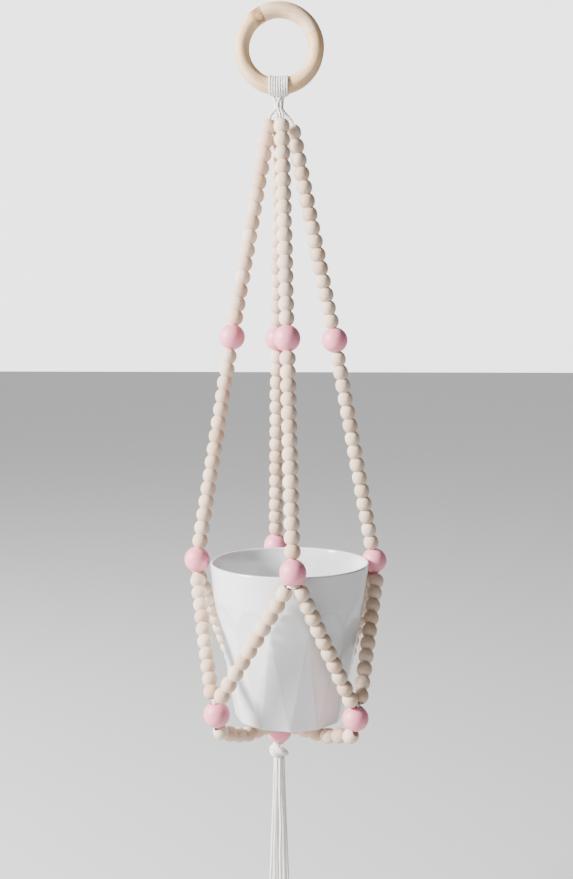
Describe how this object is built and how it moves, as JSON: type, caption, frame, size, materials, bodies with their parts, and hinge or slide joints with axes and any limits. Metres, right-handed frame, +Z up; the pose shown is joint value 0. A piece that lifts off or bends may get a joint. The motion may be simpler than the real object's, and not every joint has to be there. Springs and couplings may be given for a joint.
{
  "type": "hanging beaded planter",
  "caption": "Hanging planter: a wooden ring, cotton cords through strands of wooden and painted beads, a beaded net holding a tapered ceramic pot, and a cord tassel below.",
  "frame": {"origin": "top of the ring's eye, where a hook bears", "axes": "+Z up along the hanging line, X along the width of the ring, -Y roughly towards the front strand"},
  "size_m": [0.1594, 0.1636, 0.7472],
  "materials": {
    "ring_wood": "sanded, unfinished",
    "bead_wood": "raw, matte",
    "painted_bead": "satin paint on wood",
    "cotton_cord": "twisted cotton",
    "glazed_pot": "glossy white glaze"
  },
  "bodies": {
    "ring": {"wooden_ring": "ring_wood"},
    "knot": {"larks_head_knot": "cotton_cord"},
    "net": {"cord_left_a": "cotton_cord", "cord_left_b": "cotton_cord", "cord_front_a": "cotton_cord", "cord_front_b": "cotton_cord", "cord_right_a": "cotton_cord", "cord_right_b": "cotton_cord", "cord_back_a": "cotton_cord", "cord_back_b": "cotton_cord", "base_beads_left_front": "bead_wood", "base_beads_front_right": "bead_wood", "base_beads_right_back": "bead_wood", "base_beads_back_left": "bead_wood", "tassel_knot": "cotton_cord"},
    "pot": {"ceramic_pot": "glazed_pot"},
    "tassel": {"tassel_cord_1": "cotton_cord", "tassel_cord_2": "cotton_cord", "tassel_cord_3": "cotton_cord", "tassel_cord_4": "cotton_cord", "tassel_cord_5": "cotton_cord", "tassel_cord_6": "cotton_cord", "tassel_cord_7": "cotton_cord", "tassel_cord_8": "cotton_cord"},
    "upper_beads_left_body": {"upper_beads_left": "bead_wood"},
    "lower_beads_left_body": {"lower_beads_left": "bead_wood"},
    "shoulder_bead_left_body": {"shoulder_bead_left": "painted_bead"},
    "rim_bead_left_body": {"rim_bead_left": "painted_bead"},
    "upper_beads_front_body": {"upper_beads_front": "bead_wood"},
    "lower_beads_front_body": {"lower_beads_front": "bead_wood"},
    "shoulder_bead_front_body": {"shoulder_bead_front": "painted_bead"},
    "rim_bead_front_body": {"rim_bead_front": "painted_bead"},
    "upper_beads_right_body": {"upper_beads_right": "bead_wood"},
    "lower_beads_right_body": {"lower_beads_right": "bead_wood"},
    "shoulder_bead_right_body": {"shoulder_bead_right": "painted_bead"},
    "rim_bead_right_body": {"rim_bead_right": "painted_bead"},
    "upper_beads_back_body": {"upper_beads_back": "bead_wood"},
    "lower_beads_back_body": {"lower_beads_back": "bead_wood"},
    "shoulder_bead_back_body": {"shoulder_bead_back": "painted_bead"},
    "rim_bead_back_body": {"rim_bead_back": "painted_bead"},
    "diagonal_left_to_front_body": {"diagonal_left_to_front": "bead_wood"},
    "diagonal_front_to_left_body": {"diagonal_front_to_left": "bead_wood"},
    "base_bead_left_front_body": {"base_bead_left_front": "painted_bead"},
    "diagonal_front_to_right_body": {"diagonal_front_to_right": "bead_wood"},
    "diagonal_right_to_front_body": {"diagonal_right_to_front": "bead_wood"},
    "base_bead_front_right_body": {"base_bead_front_right": "painted_bead"},
    "diagonal_right_to_back_body": {"diagonal_right_to_back": "bead_wood"},
    "diagonal_back_to_right_body": {"diagonal_back_to_right": "bead_wood"},
    "base_bead_right_back_body": {"base_bead_right_back": "painted_bead"},
    "diagonal_back_to_left_body": {"diagonal_back_to_left": "bead_wood"},
    "diagonal_left_to_back_body": {"diagonal_left_to_back": "bead_wood"},
    "base_bead_back_left_body": {"base_bead_back_left": "painted_bead"},
    "centre_bead_body": {"centre_bead": "painted_bead"}
  },
  "joints": [
    {"name": "hanger_swing", "type": "hinge", "parent": "ring", "child": "knot", "pos_m": [0, 0, -0.05075], "axis": [1, 0, 0], "range_deg": [-75, 75]},
    {"name": "net_twist", "type": "hinge", "parent": "knot", "child": "net", "pos_m": [0, 0, -0.0655], "axis": [0, 0, 1], "range_deg": [-90, 90], "stiffness_Nm_per_rad": 0.002},
    {"name": "pot_turn", "type": "hinge", "parent": "net", "child": "pot", "pos_m": [0.0081, 0, -0.54068], "axis": [0, 0, 1], "continuous": true},
    {"name": "tassel_swing", "type": "hinge", "parent": "net", "child": "tassel", "pos_m": [0, 0, -0.57465], "axis": [0, 1, 0], "range_deg": [-30, 30]},
    {"name": "turning_upper_beads_left", "type": "hinge", "parent": "net", "child": "upper_beads_left_body", "pos_m": [-0.02083, -0.00042, -0.15286], "axis": [-0.1755, -0.0034, -0.9845], "continuous": true},
    {"name": "turning_lower_beads_left", "type": "hinge", "parent": "net", "child": "lower_beads_left_body", "pos_m": [-0.05059, -0.001, -0.32771], "axis": [-0.1601, -0.0031, -0.9871], "continuous": true},
    {"name": "turning_shoulder_bead_left", "type": "hinge", "parent": "net", "child": "shoulder_bead_left_body", "pos_m": [-0.03639, -0.00072, -0.24017], "axis": [-0.1755, -0.0034, -0.9845], "continuous": true},
    {"name": "turning_rim_bead_left", "type": "hinge", "parent": "net", "child": "rim_bead_left_body", "pos_m": [-0.06479, -0.00127, -0.41526], "axis": [-0.1601, -0.0031, -0.9871], "continuous": true},
    {"name": "turning_upper_beads_front", "type": "hinge", "parent": "net", "child": "upper_beads_front_body", "pos_m": [0.00536, -0.024, -0.15367], "axis": [0.0354, -0.1933, -0.9805], "continuous": true},
    {"name": "turning_lower_beads_front", "type": "hinge", "parent": "net", "child": "lower_beads_front_body", "pos_m": [0.01148, -0.05688, -0.32557], "axis": [0.0344, -0.1821, -0.9827], "continuous": true},
    {"name": "turning_shoulder_bead_front", "type": "hinge", "parent": "net", "child": "shoulder_bead_front_body", "pos_m": [0.0085, -0.04114, -0.24063], "axis": [0.0354, -0.1933, -0.9805], "continuous": true},
    {"name": "turning_rim_bead_front", "type": "hinge", "parent": "net", "child": "rim_bead_front_body", "pos_m": [0.01445, -0.07262, -0.41051], "axis": [0.0344, -0.1821, -0.9827], "continuous": true},
    {"name": "turning_upper_beads_right", "type": "hinge", "parent": "net", "child": "upper_beads_right_body", "pos_m": [0.02543, 0.00941, -0.15614], "axis": [0.1971, 0.0758, -0.9774], "continuous": true},
    {"name": "turning_lower_beads_right", "type": "hinge", "parent": "net", "child": "lower_beads_right_body", "pos_m": [0.05906, 0.02231, -0.3316], "axis": [0.1785, 0.0683, -0.9816], "continuous": true},
    {"name": "turning_shoulder_bead_right", "type": "hinge", "parent": "net", "child": "shoulder_bead_right_body", "pos_m": [0.04292, 0.01614, -0.24283], "axis": [0.1971, 0.0758, -0.9774], "continuous": true},
    {"name": "turning_rim_bead_right", "type": "hinge", "parent": "net", "child": "rim_bead_right_body", "pos_m": [0.0752, 0.02848, -0.42037], "axis": [0.1785, 0.0683, -0.9816], "continuous": true},
    {"name": "turning_upper_beads_back", "type": "hinge", "parent": "net", "child": "upper_beads_back_body", "pos_m": [-0.00175, 0.02356, -0.15495], "axis": [-0.0219, 0.1898, -0.9816], "continuous": true},
    {"name": "turning_lower_beads_back", "type": "hinge", "parent": "net", "child": "lower_beads_back_body", "pos_m": [-0.00537, 0.05585, -0.32932], "axis": [-0.019, 0.1743, -0.9845], "continuous": true},
    {"name": "turning_shoulder_bead_back", "type": "hinge", "parent": "net", "child": "shoulder_bead_back_body", "pos_m": [-0.00369, 0.0404, -0.242], "axis": [-0.0219, 0.1898, -0.9816], "continuous": true},
    {"name": "turning_rim_bead_back", "type": "hinge", "parent": "net", "child": "rim_bead_back_body", "pos_m": [-0.00706, 0.07131, -0.41663], "axis": [-0.019, 0.1743, -0.9845], "continuous": true},
    {"name": "turning_diagonal_left_to_front", "type": "hinge", "parent": "net", "child": "diagonal_left_to_front_body", "pos_m": [-0.0561, -0.02859, -0.46944], "axis": [0.1687, -0.4721, -0.8653], "continuous": true},
    {"name": "turning_diagonal_front_to_left", "type": "hinge", "parent": "net", "child": "diagonal_front_to_left_body", "pos_m": [-0.01571, -0.06525, -0.46706], "axis": [-0.4976, 0.1436, -0.8555], "continuous": true},
    {"name": "turning_base_bead_left_front", "type": "hinge", "parent": "net", "child": "base_bead_left_front_body", "pos_m": [-0.044, -0.05395, -0.52366], "axis": [-0.1742, -0.2136, 0.9613], "continuous": true},
    {"name": "turning_diagonal_front_to_right", "type": "hinge", "parent": "net", "child": "diagonal_front_to_right_body", "pos_m": [0.03862, -0.05959, -0.46938], "axis": [0.3726, 0.2372, -0.8972], "continuous": true},
    {"name": "turning_diagonal_right_to_front", "type": "hinge", "parent": "net", "child": "diagonal_right_to_front_body", "pos_m": [0.07069, -0.00808, -0.47431], "axis": [-0.1229, -0.6171, -0.7773], "continuous": true},
    {"name": "turning_base_bead_front_right", "type": "hinge", "parent": "net", "child": "base_bead_front_right_body", "pos_m": [0.06057, -0.04325, -0.52828], "axis": [0.2243, -0.1602, 0.9613], "continuous": true},
    {"name": "turning_diagonal_right_to_back", "type": "hinge", "parent": "net", "child": "diagonal_right_to_back_body", "pos_m": [0.06117, 0.04742, -0.47875], "axis": [-0.2292, 0.2936, -0.9281], "continuous": true},
    {"name": "turning_diagonal_back_to_right", "type": "hinge", "parent": "net", "child": "diagonal_back_to_right_body", "pos_m": [0.0195, 0.06944, -0.47688], "axis": [0.411, -0.0436, -0.9106], "continuous": true},
    {"name": "turning_base_bead_right_back", "type": "hinge", "parent": "net", "child": "base_bead_right_back_body", "pos_m": [0.0451, 0.06409, -0.53716], "axis": [0.3482, 0.4948, 0.7962], "continuous": true},
    {"name": "turning_diagonal_back_to_left", "type": "hinge", "parent": "net", "child": "diagonal_back_to_left_body", "pos_m": [-0.02166, 0.06627, -0.47444], "axis": [-0.1989, -0.0609, -0.9781], "continuous": true},
    {"name": "turning_diagonal_left_to_back", "type": "hinge", "parent": "net", "child": "diagonal_left_to_back_body", "pos_m": [-0.0522, 0.03064, -0.47375], "axis": [0.2275, 0.4994, -0.836], "continuous": true},
    {"name": "turning_base_bead_back_left", "type": "hinge", "parent": "net", "child": "base_bead_back_left_body", "pos_m": [-0.0354, 0.05987, -0.53228], "axis": [-0.1403, 0.2373, 0.9613], "continuous": true},
    {"name": "turning_centre_bead", "type": "hinge", "parent": "net", "child": "centre_bead_body", "pos_m": [0, 0, -0.55348], "axis": [0, 0, 1], "continuous": true}
  ]
}
